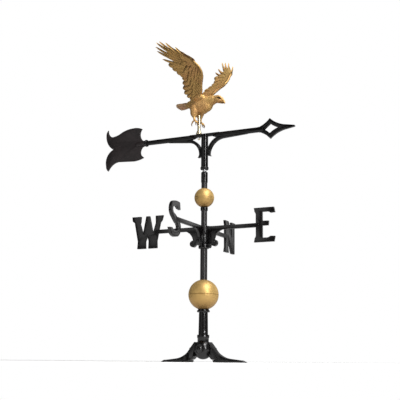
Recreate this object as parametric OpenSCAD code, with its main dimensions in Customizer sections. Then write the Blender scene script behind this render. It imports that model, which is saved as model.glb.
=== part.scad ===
// Roof weather vane: a pitch-adjustable roof bracket, a pole with two globes,
// a compass of four cast letters, and an arrow with an eagle that turns in the wind.
// +X is east and the way the arrow points at rest, +Y is north, +Z is up.
// The origin is on the pole's axis, in the plane of the feet's soles.

/* [Roof bracket] */
// Height of the pivot bolt above the soles
pivot_z = 44; // [40:1:48]
// Radius of the round knuckle that the feet turn on
knuckle_r = 34; // [32:1:35]
// Distance from the pole's axis to the tip of a toe
toe_x = 166; // [150:1:190]
// Half the width of a foot's pad
pad_half_w = 30; // [26:1:36]
// Distance from the pole's axis to a roof screw
screw_x = 112; // [100:1:120]
// Distance from a foot's centre line to a roof screw
screw_y = 17; // [14:1:19]
// Radius of a roof screw's hole
screw_hole_r = 3.5; // [2.5:0.5:4.5]

/* [Pole] */
// Outer radius of the lower pole
pole_r = 12.7; // [12.7:0.1:13.2]
// Outer radius of the upper tube
upper_r = 10.9; // [10:0.1:10.9]
// Radius of the large globe
large_globe_r = 54; // [50:1:58]
// Height of the large globe's centre
large_globe_z = 236; // [230:1:240]
// Radius of the small globe
small_globe_r = 36; // [30:1:40]
// Height of the small globe's centre
small_globe_z = 588; // [580:1:595]
// Radius of the steel spindle
spindle_r = 5; // [4:0.5:6]

/* [Compass] */
// Height of the arms' centre line
arm_z = 474; // [470:1:476]
// Height of a letter
letter_h = 122; // [100:1:130]
// Distance from the pole's axis to the inner edge of the letter E
letter_e_x = 195; // [180:1:220]
// Thickness of a cast letter
letter_t = 9; // [7:1:12]

/* [Vane] */
// Height of the arrow's top edge
arrow_top = 830; // [829:1:832]
// Distance from the pole's axis to the arrow's point
arrow_tip = 350; // [330:1:370]
// Thickness of the tail fin
fin_t = 5; // [4:1:8]
// Distance from the pole's axis back to the eagle's post
post_back = 24; // [24:1:28]
// Turn of the eagle from the arrow's direction, towards the south
eagle_yaw = 12; // [0:1:20]

/* [Hidden] */
$fn = 72;
eps = 0.05;              // running clearance on a radius
face_gap = 0.1;          // gap between faces that turn against each other

// bracket
tongue_half_t = 13;      // half the knuckle's middle slice, which is the socket's
ear_face_y = 29;         // flat that the washers bear on
bolt_r = 5;
bolt_head_r = 14;
bolt_end = 12;           // bolt beyond the ear's flat, at the nut
washer_t = 2;
washer_r = 12;
nut_r = 9.8;
nut_h = 8;
neck_r = 20;
neck_top = 84;
socket_top = 95;
socket_r = 21.5;
base_tube_foot = 80;
base_tube_top = 174;
base_tube_r = [17, 15.8];
pole_foot = 86;
base_screw_az = 40;      // degrees east of south
base_screw_z = [90, 104];
base_screw_r = 3;
leg_half_w = 13;         // the leg keeps to the tongue's slice, clear of the other foot's ear
pad_t = 8;
pad_inner_x = 50;

// pole
collar_top = 186.5;
collar_flange_r = 22.9;
shell_t = 1.5;
pole_wall = 1.7;
hub_bottom = 415.7;
hub_split = 449.5;
hub_top = 483;
hub_r = 15.8;
hub_collar_z = [400.7, 415.6];
hub_collar_r = 19.6;
collar_screw_z = 408;
collar_screw_r = 2.5;
ferrule_z = [539.5, 554];
ferrule_r = 13.5;
cap_z = [644.5, 686];
cap_r = 12.3;
upper_foot = 430;
upper_top = 662;
upper_wall = 1.7;
spindle_z = [664, 800];

// compass
arm_h = 14;
arm_t = 10;
web_t = 9;
stub_t = 8;
scroll_r = 12;
scroll_t = 13;
slot_w = 10;
slot_az = 22;            // degrees east of south
ring_screw_az = 225;
ring_screw_z = [466, 432];
ring_screw_r = 2.5;
letter_k = letter_h / 122;
letter_w_left = -298;    // west edge of the letter W
letter_s_left = -276;    // south edge of the letter S
letter_n_left = 182;     // south edge of the letter N
// where an arm ends inside its letter, from the letter's left edge
join_e = 20;
join_w = 103;
join_s = 50;
join_n = 15;

// vane
vane_tube_r = 12.9;
vane_bore_r = 10.5;
vane_tube_z = [703, 819];
bushing_flange_r = 15.2;
bushing_flange_foot = 692.5;
bushing_h = 22;          // depth of the lower bushing in the tube
upper_bushing_z = [770, 785];
plug_foot = 792;
rod_z = 820.5;
rod_r = 9.6;
rod_spigot_r = 6;
bracket_t = 10;
head_t = 11;
tail_socket_r = 9.6;
tail_collar_x = [-250, -242];
tail_collar_r = 13.4;
rod_tail_x = -272;
tail_screw_x = -257;
tail_screw_r = 2;
post_r = 6;
post_shank_r = 3;
post_top = 930;
rod_web_z = 819;         // underside of the thin stretch over the pole

// ---------- outlines ----------

// Points of the circular arc from p towards q, without q. h is how far the arc stands off the
// chord, to the left of the way from p to q.
function arc_from(p, q, h, n = 8) =
    h == 0 ? [[p[0], p[1]]] :
    let (dx = q[0] - p[0], dy = q[1] - p[1], c = norm([dx, dy]), half = 2 * atan(2 * h / c))
    let (r = c / (2 * sin(half)), ux = dx / c, uy = dy / c)
    [for (i = [0 : n - 1])
        let (a = half * (2 * i / n - 1), along = c / 2 + r * sin(a), off = r * (cos(a) - cos(half)))
        [p[0] + ux * along - uy * off, p[1] + uy * along + ux * off]];

// A closed outline from corners [x, y, bulge], where bulge bends the edge that leaves the corner.
function outline(v) =
    [for (k = [0 : len(v) - 1]) each arc_from(v[k], v[(k + 1) % len(v)], v[k][2])];

// A plate of thickness t standing in the XZ plane, centred on y = 0.
module plate(v, t) {
    rotate([90, 0, 0])
        translate([0, 0, -t / 2])
            linear_extrude(t)
                polygon(outline(v));
}

// A cylinder along Y from y0 to y1.
module y_cylinder(r, y0, y1) {
    translate([0, y1, 0])
        rotate([90, 0, 0])
            cylinder(r = r, h = y1 - y0);
}

// A cylinder or cone along X from x0 to x1.
module x_cylinder(r0, r1, x0, x1) {
    translate([x0, 0, 0])
        rotate([0, 90, 0])
            cylinder(r1 = r0, r2 = r1, h = x1 - x0);
}

// A straight tube on the pole's axis.
module tube(r, bore, z0, z1) {
    difference() {
        translate([0, 0, z0])
            cylinder(r = r, h = z1 - z0);
        translate([0, 0, z0 - 1])
            cylinder(r = bore, h = z1 - z0 + 2);
    }
}

// A set screw whose axis is az degrees east of south, from radius r0 to r1 at height z.
module set_screw(az, z, r0, r1, r) {
    rotate([0, 0, az])
        translate([0, 0, z])
            difference() {
                y_cylinder(r, -r1, -r0);
                y_cylinder(r * 0.5, -r1 - 1, -r1 + r * 0.8, $fn = 6);
            }
}

// The hole that such a screw sits in.
module screw_hole(az, z, r0, r1, r) {
    rotate([0, 0, az])
        translate([0, 0, z])
            y_cylinder(r, -r1, -r0);
}

// ---------- roof bracket ----------

module knuckle_slice(y0, y1) {
    intersection() {
        translate([0, 0, pivot_z])
            sphere(r = knuckle_r);
        translate([-knuckle_r, y0, pivot_z - knuckle_r])
            cube([2 * knuckle_r, y1 - y0, 2 * knuckle_r]);
    }
}

module socket_casting() {
    color("#1b1b1c")
        difference() {
            union() {
                knuckle_slice(-tongue_half_t, tongue_half_t);
                intersection() {
                    translate([0, 0, pivot_z + 20])
                        cylinder(r = neck_r, h = neck_top - pivot_z - 20);
                    translate([-neck_r, -tongue_half_t, 0])
                        cube([2 * neck_r, 2 * tongue_half_t, neck_top]);
                }
                translate([0, 0, pivot_z + knuckle_r])
                    cylinder(r = neck_r, h = neck_top - pivot_z - knuckle_r);
                translate([0, 0, neck_top])
                    cylinder(r = socket_r, h = socket_top - neck_top);
            }
            translate([0, 0, pivot_z])
                y_cylinder(bolt_r, -tongue_half_t - 1, tongue_half_t + 1);
            translate([0, 0, base_tube_foot])
                cylinder(r = base_tube_r[0], h = socket_top);
            screw_hole(base_screw_az, base_screw_z[0], 0, socket_r + 1, base_screw_r);
        }
}

// The east foot; the west foot is the same casting turned half round the pole.
module foot() {
    leg_side = [[24, pivot_z + 26, 0], [56, 34, -4], [102, 13, 0], [145, pad_t, 0], [toe_x, 1, 0],
        [toe_x, 0, 0], [pad_inner_x, 0, 0], [pad_inner_x - 3, 9, 3], [31, 17, 0], [0, pivot_z, 0]];
    pad_side = [[toe_x, 1, 0], [toe_x, 0, 0], [pad_inner_x, 0, 0], [pad_inner_x - 3, pad_t, 0],
        [145, pad_t, 0]];
    difference() {
        union() {
            difference() {
                intersection() {
                    plate(leg_side, 2 * pad_half_w);
                    leg_plan();
                }
                translate([0, 0, pivot_z])
                    y_cylinder(knuckle_r + 0.6, -pad_half_w - 1, pad_half_w + 1);
            }
            intersection() {
                plate(pad_side, 2 * pad_half_w);
                pad_plan();
            }
            ear();
        }
        translate([0, 0, pivot_z])
            y_cylinder(bolt_r + eps, 0, knuckle_r + 1);
        for (y = [-screw_y, screw_y])
            translate([screw_x, y, -1])
                cylinder(r = screw_hole_r, h = pad_t + 20);
    }
}

// The slice of the knuckle that belongs to the foot, with its flat for the washer and the
// short arm that joins it to the leg.
module ear() {
    leg_root = [[18, pivot_z + 24, 0], [42, 48, 0], [40, 17, 0], [30, 18, 0]];
    knuckle_slice(tongue_half_t + face_gap, ear_face_y);
    intersection() {
        plate(leg_root, 2 * pad_half_w);
        translate([0, tongue_half_t + face_gap, 0])
            cube([60, 12, 2 * pivot_z]);
    }
}

module leg_plan() {
    linear_extrude(2 * pivot_z)
        polygon(outline([[20, -leg_half_w, 0], [20, 24, 0], [38, 20, -2], [70, leg_half_w, 0],
            [118, 5, 0], [toe_x, 3, 0], [toe_x, -3, 0], [118, -5, 0], [70, -leg_half_w, 0]]));
}

module pad_plan() {
    linear_extrude(2 * pad_t)
        polygon(outline([[40, -22, 0], [40, 22, 3], [95, pad_half_w, 4], [140, 18, 3], [toe_x, 2, 0],
            [toe_x, -2, 3], [140, -18, 4], [95, -pad_half_w, 3]]));
}

module east_foot() {
    color("#1b1b1c")
        foot();
}

module west_foot() {
    color("#1b1b1c")
        rotate([0, 0, 180])
            foot();
}

module pivot_bolt() {
    head_y = ear_face_y + washer_t + face_gap;
    color("#2a2a2b")
        translate([0, 0, pivot_z]) {
            y_cylinder(bolt_r, -head_y, ear_face_y + bolt_end);
            difference() {
                translate([0, -head_y + 6, 0])
                    sphere(r = bolt_head_r);
                translate([-2 * bolt_head_r, -head_y, -2 * bolt_head_r])
                    cube(4 * bolt_head_r);
            }
        }
}

module pivot_washers() {
    color("#8d9093")
        for (y = [-ear_face_y - washer_t - face_gap, ear_face_y + face_gap])
            translate([0, 0, pivot_z])
                difference() {
                    y_cylinder(washer_r, y, y + washer_t);
                    y_cylinder(bolt_r, y - 1, y + washer_t + 1);
                }
}

module pivot_nut() {
    seat = ear_face_y + face_gap + washer_t;
    color("#8d9093")
        translate([0, 0, pivot_z])
            difference() {
                y_cylinder(nut_r, seat, seat + nut_h, $fn = 6);
                y_cylinder(bolt_r, seat - 1, seat + nut_h + 1);
            }
}

// ---------- pole ----------

module base_tube() {
    color("#1d1d1e")
        difference() {
            translate([0, 0, base_tube_foot])
                union() {
                    cylinder(r = base_tube_r[0], h = socket_top - base_tube_foot);
                    translate([0, 0, socket_top - base_tube_foot])
                        cylinder(r1 = base_tube_r[0], r2 = base_tube_r[1], h = base_tube_top - socket_top);
                }
            translate([0, 0, pole_foot])
                cylinder(r = pole_r, h = base_tube_top);
            for (z = base_screw_z)
                screw_hole(base_screw_az, z, 0, socket_r + 1, base_screw_r);
        }
}

module base_set_screws() {
    color("#b9bcc0") {
        set_screw(base_screw_az, base_screw_z[0], pole_r, socket_r + 2, base_screw_r);
        set_screw(base_screw_az, base_screw_z[1], pole_r, base_tube_r[0] + 3, base_screw_r);
    }
}

module globe_collar() {
    color("#1b1b1c")
        difference() {
            union() {
                tube(collar_flange_r, pole_r, base_tube_top, base_tube_top + 7);
                tube(19.5, pole_r, base_tube_top + 7, collar_top);
            }
            translate([0, 0, large_globe_z])
                sphere(r = large_globe_r);
        }
}

// Half of a hollow globe, the half being above or below its centre.
module half_globe(z, r, bore, upper) {
    difference() {
        translate([0, 0, z])
            sphere(r = r);
        translate([0, 0, z])
            sphere(r = r - shell_t);
        translate([0, 0, z - r - 1])
            cylinder(r = bore, h = 2 * r + 2);
        translate([-r - 1, -r - 1, upper ? z - r - 2 : z])
            cube([2 * r + 2, 2 * r + 2, r + 2]);
    }
}

module large_globe_lower() {
    color("#b8904f")
        half_globe(large_globe_z, large_globe_r, pole_r, false);
}

module large_globe_upper() {
    color("#b8904f")
        half_globe(large_globe_z, large_globe_r, pole_r, true);
}

module lower_pole() {
    color("#1d1d1e")
        tube(pole_r, pole_r - pole_wall, pole_foot, hub_split);
}

module hub_collar() {
    color("#1b1b1c")
        difference() {
            tube(hub_collar_r, pole_r, hub_collar_z[0], hub_collar_z[1]);
            screw_hole(90, collar_screw_z, 0, hub_collar_r + 1, collar_screw_r);
        }
}

module hub_collar_screw() {
    color("#1b1b1c")
        rotate([0, 0, 90])
            translate([0, 0, collar_screw_z]) {
                y_cylinder(collar_screw_r, -hub_collar_r - 1, -pole_r);
                y_cylinder(2 * collar_screw_r, -hub_collar_r - 8, -hub_collar_r);
            }
}

module upper_tube() {
    color("#1d1d1e")
        tube(upper_r, upper_r - upper_wall, upper_foot, upper_top);
}

module small_globe_ferrule() {
    color("#1b1b1c")
        difference() {
            tube(ferrule_r, upper_r, ferrule_z[0], ferrule_z[1]);
            translate([0, 0, small_globe_z])
                sphere(r = small_globe_r);
        }
}

module small_globe_lower() {
    color("#b8904f")
        half_globe(small_globe_z, small_globe_r, upper_r, false);
}

module small_globe_upper() {
    color("#b8904f")
        half_globe(small_globe_z, small_globe_r, upper_r, true);
}

module bearing_cap() {
    chamfer = 4;
    color("#1d1d1e")
        difference() {
            union() {
                translate([0, 0, cap_z[0]])
                    cylinder(r = cap_r, h = cap_z[1] - cap_z[0] - chamfer);
                translate([0, 0, cap_z[1] - chamfer])
                    cylinder(r1 = cap_r, r2 = cap_r - chamfer, h = chamfer);
            }
            translate([0, 0, cap_z[0] - 1])
                cylinder(r = upper_r, h = upper_top - cap_z[0] + 1);
            translate([0, 0, cap_z[0]])
                cylinder(r = spindle_r, h = cap_z[1]);
        }
}

module spindle() {
    color("#c9ccd0") {
        translate([0, 0, spindle_z[0]])
            cylinder(r = spindle_r, h = spindle_z[1] - spindle_z[0] - spindle_r);
        translate([0, 0, spindle_z[1] - spindle_r])
            sphere(r = spindle_r);
    }
}

// ---------- compass ----------

// Corners of each letter, with x from its left edge and y from its mid height, for a letter
// 122 tall.
letter_e = [[0, 61, 0], [74, 61, 0], [78, 42, 0], [61, 41, -2], [45, 46, 0], [31, 46, 0],
    [31, 14, 0], [55, 13, 0], [53, -3, 0], [31, -3, 0], [31, -46, 0], [45, -46, -2],
    [61, -41, 0], [78, -42, 0], [74, -61, 0], [0, -61, 0], [3, -46, -1.5], [7, -34, 0],
    [7, 34, -1.5], [3, 46, 0]];
letter_w = [[0, 61, 0], [37, 61, 0], [36, 42, 0], [34, 34, 0], [47, -6, 0], [60, 61, 0],
    [74, 61, 0], [89, -6, 0], [101, 34, 0], [100, 61, 0], [131, 61, 0], [126, 43, 0],
    [119, 34, 0], [106, -34, 0], [107, -61, 0], [71, -61, 0], [72, -34, 0], [66, -14, 0],
    [58, -34, 0], [59, -61, 0], [24, -61, 0], [26, -34, 0], [11, 38, 0], [2, 45, 0]];
letter_n = [[0, 61, 0], [33, 61, 0], [66, -4, 0], [66, 40, 0], [62, 61, 0], [96, 61, 0],
    [91, 40, 0], [91, -61, 0], [66, -61, 0], [30, 8, 0], [30, -42, 0], [36, -61, 0],
    [0, -61, 0], [6, -42, 0], [6, 42, 0]];
letter_s = [[74, 59, 0], [78, 34, 0], [60, 36, -2], [38, 44, -14], [38, 16, 0], [70, -2, 22],
    [50, -61, 4], [12, -56, 0], [0, -35, 0], [20, -33, -3], [46, -42, -14], [46, -14, 0],
    [16, 8, 18.8], [36, 60, 2]];

// A letter in the XZ plane with its left edge at x.
module letter(corners, x) {
    translate([x, 0, arm_z])
        scale([letter_k, 1, letter_k])
            plate(corners, letter_t);
}

// One arm along +X out to reach, with the quarter-round web under it and the scroll at the foot
// of the web. It starts just clear of the hub, where only its own ring's stub meets it.
module arm(reach) {
    web_r = 46;
    web_x = hub_r + face_gap;
    scroll_x = 42;
    scroll_z = 420;
    web = [[web_x, arm_z + 8, 0], [web_x + 60, arm_z + 5, 0], [web_x + 80, arm_z, 0],
        [scroll_x + web_r, arm_z - 6, -web_r * 0.29], [scroll_x, scroll_z + 8, 0],
        [scroll_x - 6, scroll_z - 4, 0], [web_x, scroll_z - 3, 0]];
    plate(web, web_t);
    translate([0, 0, arm_z])
        translate([web_x, -arm_t / 2, -arm_h / 2])
            cube([reach - web_x, arm_t, arm_h]);
    translate([scroll_x, 0, scroll_z])
        y_cylinder(scroll_r, -scroll_t / 2, scroll_t / 2);
}

// A hub ring with the two stubs that join it to the arms of its own casting.
module hub_ring(z0, z1, bore) {
    stub_x = hub_r - 2;
    tube(hub_r, bore + eps, z0, z1);
    for (x = [stub_x, -stub_x - 5])
        translate([x, -stub_t / 2, z0])
            cube([5, stub_t, z1 - z0]);
}

module ew_arms() {
    color("#1b1b1c")
        difference() {
            union() {
                hub_ring(hub_split + face_gap, hub_top, upper_r);
                arm(letter_e_x + join_e * letter_k);
                mirror([1, 0, 0])
                    arm(-letter_w_left - join_w * letter_k);
                letter(letter_e, letter_e_x);
                letter(letter_w, letter_w_left);
            }
            rotate([0, 0, slot_az])
                translate([-slot_w / 2, -hub_r - 1, hub_split])
                    cube([slot_w, hub_r + 1, hub_top]);
            screw_hole(ring_screw_az, ring_screw_z[0], 0, hub_r + 1, ring_screw_r);
        }
}

module ns_arms() {
    color("#1b1b1c")
        difference() {
            rotate([0, 0, 90])
                union() {
                    hub_ring(hub_bottom, hub_split, pole_r);
                    arm(letter_n_left + join_n * letter_k);
                    mirror([1, 0, 0])
                        arm(-letter_s_left - join_s * letter_k);
                    letter(letter_n, letter_n_left);
                    letter(letter_s, letter_s_left);
                }
            screw_hole(ring_screw_az, ring_screw_z[1], 0, hub_r + 1, ring_screw_r);
        }
}

module arm_set_screws() {
    color("#8d9093") {
        set_screw(ring_screw_az, ring_screw_z[0], upper_r + eps, hub_r + 1.5, ring_screw_r);
        set_screw(ring_screw_az, ring_screw_z[1], pole_r + eps, hub_r + 1.5, ring_screw_r);
    }
}

// ---------- vane ----------

module vane_tube() {
    color("#1d1d1e")
        tube(vane_tube_r, vane_bore_r, vane_tube_z[0], vane_tube_z[1]);
}

module lower_bushing() {
    color("#151515")
        difference() {
            union() {
                translate([0, 0, bushing_flange_foot])
                    cylinder(r1 = bushing_flange_r - 2, r2 = bushing_flange_r, h = 3);
                translate([0, 0, bushing_flange_foot + 3])
                    cylinder(r = bushing_flange_r, h = vane_tube_z[0] - bushing_flange_foot - 3);
                translate([0, 0, vane_tube_z[0]])
                    cylinder(r = vane_bore_r, h = bushing_h);
            }
            translate([0, 0, bushing_flange_foot - 1])
                cylinder(r = spindle_r + eps, h = 3 * bushing_h);
        }
}

module upper_bushing() {
    color("#151515")
        tube(vane_bore_r, spindle_r + eps, upper_bushing_z[0], upper_bushing_z[1]);
}

module thrust_plug() {
    color("#8d9093")
        difference() {
            translate([0, 0, plug_foot])
                cylinder(r = vane_bore_r, h = vane_tube_z[1] - plug_foot);
            translate([0, 0, plug_foot - 1])
                cylinder(r = spindle_r + eps, h = spindle_z[1] - spindle_r - plug_foot + 1);
            translate([0, 0, spindle_z[1] - spindle_r])
                sphere(r = spindle_r + eps);
        }
}

// A curved bracket from the rod down to the tube: a quarter band with a leaf at its foot, on
// the +X side. c is the centre of the band, r its inner and outer radius.
module bracket(c, r, leaf) {
    foot_x = c[0] - r[0];
    band = concat(
        [for (a = [90 : 7.5 : 180]) [c[0] + r[0] * cos(a), c[1] + r[0] * sin(a)]],
        [[foot_x + 1, c[1] - leaf * 0.45], [foot_x + 5.5, c[1] - leaf], [foot_x - 1, c[1] - leaf * 1.05],
            [foot_x - 7.5, c[1] - leaf * 0.5]],
        [for (a = [180 : -7.5 : 90]) [c[0] + r[1] * cos(a), c[1] + r[1] * sin(a)]]);
    rotate([90, 0, 0])
        translate([0, 0, -bracket_t / 2])
            linear_extrude(bracket_t)
                polygon(band);
}

// The stretch where the band of such a bracket runs out along the rod.
module run_out(c, r, end_x) {
    under = c[1] + r[0];
    plate([[c[0] - 4, arrow_top - 2, 0], [c[0] - 2, under, 0], [c[0], under, 0],
        [end_x, rod_z - rod_r, 0], [end_x, rod_z, 0]], bracket_t);
}

module arrow() {
    right_c = [81, 747.5];
    right_r = [58, 72];
    left_c = [70.5, 752.5];
    left_r = [50, 61.5];
    rod_end_x = 232;
    head = [[212, rod_z + 9, 0], [218, rod_z + 9, -3], [258, rod_z + 37, -6], [322, rod_z + 6, 0],
        [arrow_tip, rod_z + 1, 0], [arrow_tip, rod_z - 3, 0], [322, rod_z - 8, -6], [258, rod_z - 38, -3],
        [218, rod_z - 9.4, 0], [212, rod_z - 9, 0]];
    hole = [[237, rod_z - 1, 0], [259, rod_z + 17, -2], [291, rod_z, -2], [258, rod_z - 18, 0]];
    color("#1b1b1c")
        difference() {
            union() {
                translate([0, 0, rod_z]) {
                    x_cylinder(rod_r, rod_r, 52, rod_end_x);
                    x_cylinder(rod_r - 0.6, rod_r, tail_collar_x[0], -50);
                    x_cylinder(rod_spigot_r, rod_spigot_r, rod_tail_x, tail_collar_x[0]);
                }
                translate([-60, -bracket_t / 2, rod_web_z])
                    cube([120, bracket_t, arrow_top - rod_web_z]);
                translate([0, 0, rod_web_z])
                    cylinder(r = vane_tube_r, h = 7);
                bracket(right_c, right_r, 4.5);
                run_out(right_c, right_r, 170);
                mirror([1, 0, 0]) {
                    bracket(left_c, left_r, 12);
                    run_out(left_c, left_r, 150);
                }
                difference() {
                    plate(head, head_t);
                    plate(hole, head_t + 2);
                }
            }
            translate([0, 0, vane_tube_z[0]])
                cylinder(r = vane_tube_r, h = vane_tube_z[1] - vane_tube_z[0]);
            translate([-post_back, 0, rod_web_z - 1])
                cylinder(r = post_shank_r, h = 20);
        }
}

module tail_fin() {
    fin = [[-266, rod_z + 59, -3], [-308, rod_z + 66, -4], [-366, rod_z + 49, 2],
        [-400, rod_z + 41, 6], [-418, rod_z + 70, 0], [-425, rod_z + 62, -13],
        [-394, rod_z - 10, -13], [-424, rod_z - 74, -3], [-414, rod_z - 95, 0],
        [-409, rod_z - 88, 6], [-368, rod_z - 62, 0], [-300, rod_z - 66, -2],
        [-256, rod_z - 56, 0], [-268, rod_z - 45, 5], [-262, rod_z - 14, 0],
        [-250, rod_z - 9.4, 0], [-250, rod_z + 9.4, 0], [-262, rod_z + 12, 10]];
    color("#1d1b1b")
        difference() {
            union() {
                plate(fin, fin_t);
                translate([0, 0, rod_z])
                    x_cylinder(tail_socket_r - 2.5, tail_socket_r, -290, -262);
                translate([0, 0, rod_z])
                    x_cylinder(tail_socket_r, tail_socket_r, -262, tail_collar_x[0]);
            }
            translate([0, 0, rod_z])
                x_cylinder(rod_spigot_r, rod_spigot_r, rod_tail_x, tail_collar_x[0] + 1);
            translate([tail_screw_x, 0, rod_z - 20])
                cylinder(r = tail_screw_r, h = 20);
        }
}

module tail_collar() {
    color("#1b1b1c")
        translate([0, 0, rod_z])
            difference() {
                x_cylinder(tail_collar_r, tail_collar_r, tail_collar_x[0], tail_collar_x[1]);
                x_cylinder(rod_r, rod_r, tail_collar_x[0] - 1, tail_collar_x[1] + 1);
            }
}

module tail_set_screw() {
    color("#8d9093")
        translate([tail_screw_x, 0, rod_z - 12])
            cylinder(r = tail_screw_r, h = 12 - rod_spigot_r);
}

module eagle_post() {
    color("#cbb583")
        translate([-post_back, 0, 0]) {
            translate([0, 0, arrow_top])
                cylinder(r = post_r, h = post_top - arrow_top);
            translate([0, 0, rod_web_z - 10])
                cylinder(r = post_shank_r, h = arrow_top - rod_web_z + 10);
        }
}

module post_flange() {
    color("#cbb583")
        translate([-post_back, 0, arrow_top])
            difference() {
                union() {
                    cylinder(r = 11, h = 6);
                    translate([0, 0, 6])
                        cylinder(r1 = 9.5, r2 = 7.5, h = 7);
                }
                translate([0, 0, -1])
                    cylinder(r = post_r, h = 20);
            }
}

module post_nut() {
    color("#8d9093")
        translate([-post_back, 0, rod_web_z - 7])
            difference() {
                cylinder(r = 5.6, h = 7, $fn = 6);
                translate([0, 0, -1])
                    cylinder(r = post_shank_r, h = 9);
            }
}

// ---------- eagle ----------
// In the eagle's own frame x is the way it faces, y its left, and z the height above the soles.

tail_roll = -14;
wing_screw_r = 2;
wing_screw_z = 958;
wing_screw_y = [14, 34];
function thigh_foot(side) = [-9, side * 18, 897];

module eagle_place() {
    translate([-post_back, 0, 0])
        rotate([0, 0, -eagle_yaw])
            children();
}

// A round-ended rod or cone between two balls.
module limb(p, rp, q, rq, facets = 24) {
    hull() {
        translate(p)
            sphere(r = rp, $fn = facets);
        translate(q)
            sphere(r = rq, $fn = facets);
    }
}

// The torso, which the wings and the tail are cut to fit.
module torso() {
    limb([12, 0, 942], 32, [-26, 0, 953], 21);
    limb([-26, 0, 953], 21, [-48, 0, 954], 11);
    limb([26, 0, 949], 26, [64, 0, 953], 16);
}

module thigh(side) {
    limb([-8, side * 16, 927], 17, thigh_foot(side), 6.5);
}

module eagle_body() {
    color("#a8803f")
        eagle_place()
            difference() {
                union() {
                    torso();
                    limb([64, 0, 953], 16, [94, 0, 950], 13.5);
                    limb([98, 0, 948], 11, [118, 0, 930], 3.5);
                    for (side = [-1, 1])
                        thigh(side);
                }
                translate([0, 0, rod_web_z])
                    cylinder(r = post_r, h = post_top - rod_web_z);
                for (side = [-1, 1])
                    wing_screw(side);
            }
}

// Spanwise stations of each raised wing: [out, up, leading x, trailing x]. The left wing is
// swept forward of the right one.
right_stations = [[18, 955, 26, -24], [29, 980, 33, -38], [43, 1007, 45, -44], [63, 1037, 63, -34],
    [79, 1060, 60, -48], [94, 1083, 40, -66], [111, 1107, 10, -84]];
left_stations = [[18, 955, 26, -22], [32, 988, 40, -20], [46, 1012, 62, -12], [58, 1030, 78, 0],
    [76, 1057, 86, 11], [93, 1082, 84, 8]];
// Tips of the long feathers: [out, up, x].
right_tips = [[130, 1135, -14], [144, 1157, -50], [150, 1166, -75], [150, 1164, -89],
    [142, 1152, -97], [132, 1138, -97]];
left_tips = [[117, 1115, 73], [137, 1145, 38], [141, 1152, 18], [144, 1157, 1], [123, 1124, -2],
    [110, 1106, -6]];

module wing(side, stations, tips) {
    r = 3;
    for (k = [0 : len(stations) - 2])
        hull()
            for (s = [stations[k], stations[k + 1]])
                for (x = [s[2], s[3]])
                    translate([x, side * s[0], s[1]])
                        sphere(r = r, $fn = 12);
    hand = stations[len(stations) - 1];
    for (k = [0 : len(tips) - 1])
        hull() {
            translate([hand[2] + (hand[3] - hand[2]) * k / (len(tips) - 1), side * hand[0], hand[1]])
                sphere(r = r + 2, $fn = 12);
            translate([tips[k][2], side * tips[k][0], tips[k][1]])
                sphere(r = r - 1, $fn = 12);
        }
}

// A wing cut to the torso, with the hole for its screw.
module fitted_wing(side, stations, tips) {
    eagle_place()
        difference() {
            wing(side, stations, tips);
            torso();
            wing_screw(side);
        }
}

module right_wing() {
    color("#8f6b33")
        fitted_wing(-1, right_stations, right_tips);
}

module left_wing() {
    color("#c09a55")
        fitted_wing(1, left_stations, left_tips);
}

module eagle_tail() {
    fan = [[14, 10, 0], [-44, 20, -8], [-40, -20, 0], [14, -10, 0]];
    color("#8f6b43")
        eagle_place()
            difference() {
                translate([-46, 0, 952.5])
                    rotate([tail_roll, 0, 0])
                        linear_extrude(5, center = true)
                            polygon(outline(fan));
                torso();
            }
}

// A shank with three toes in front and one behind, each ending in a curled claw.
module talon(side) {
    ankle = [-6, side * 20, 880];
    difference() {
        union() {
            limb(thigh_foot(side), 5, ankle, 4.5, 14);
            for (a = [-30, 0, 30, 180])
                let (toe = ankle + [11 * cos(a), 11 * sin(a), -7]) {
                    limb(ankle, 3.5, toe, 3, 14);
                    limb(toe, 3, ankle + [14 * cos(a), 14 * sin(a), -18], 1.2, 14);
                }
        }
        thigh(side);
    }
}

module right_talon() {
    color("#a8803f")
        eagle_place()
            talon(-1);
}

module left_talon() {
    color("#a8803f")
        eagle_place()
            talon(1);
}

// The screw that holds a wing to the torso.
module wing_screw(side) {
    translate([0, 0, wing_screw_z])
        mirror([0, side > 0 ? 0 : 1, 0])
            y_cylinder(wing_screw_r, wing_screw_y[0], wing_screw_y[1]);
}

module wing_screws() {
    color("#8d9093")
        eagle_place()
            for (side = [-1, 1])
                wing_screw(side);
}

// ---------- the parts ----------

socket_casting();
pivot_bolt();
pivot_washers();
pivot_nut();
west_foot();
east_foot();
base_tube();
base_set_screws();
globe_collar();
large_globe_lower();
large_globe_upper();
lower_pole();
hub_collar();
hub_collar_screw();
upper_tube();
small_globe_ferrule();
small_globe_lower();
small_globe_upper();
bearing_cap();
spindle();
ew_arms();
ns_arms();
arm_set_screws();
vane_tube();
lower_bushing();
upper_bushing();
thrust_plug();
arrow();
tail_fin();
tail_collar();
tail_set_screw();
eagle_post();
post_flange();
post_nut();
eagle_body();
right_wing();
left_wing();
eagle_tail();
right_talon();
left_talon();
wing_screws();
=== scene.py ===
import math

import bmesh
import bpy
import numpy as np
from mathutils import Matrix, Vector


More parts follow.
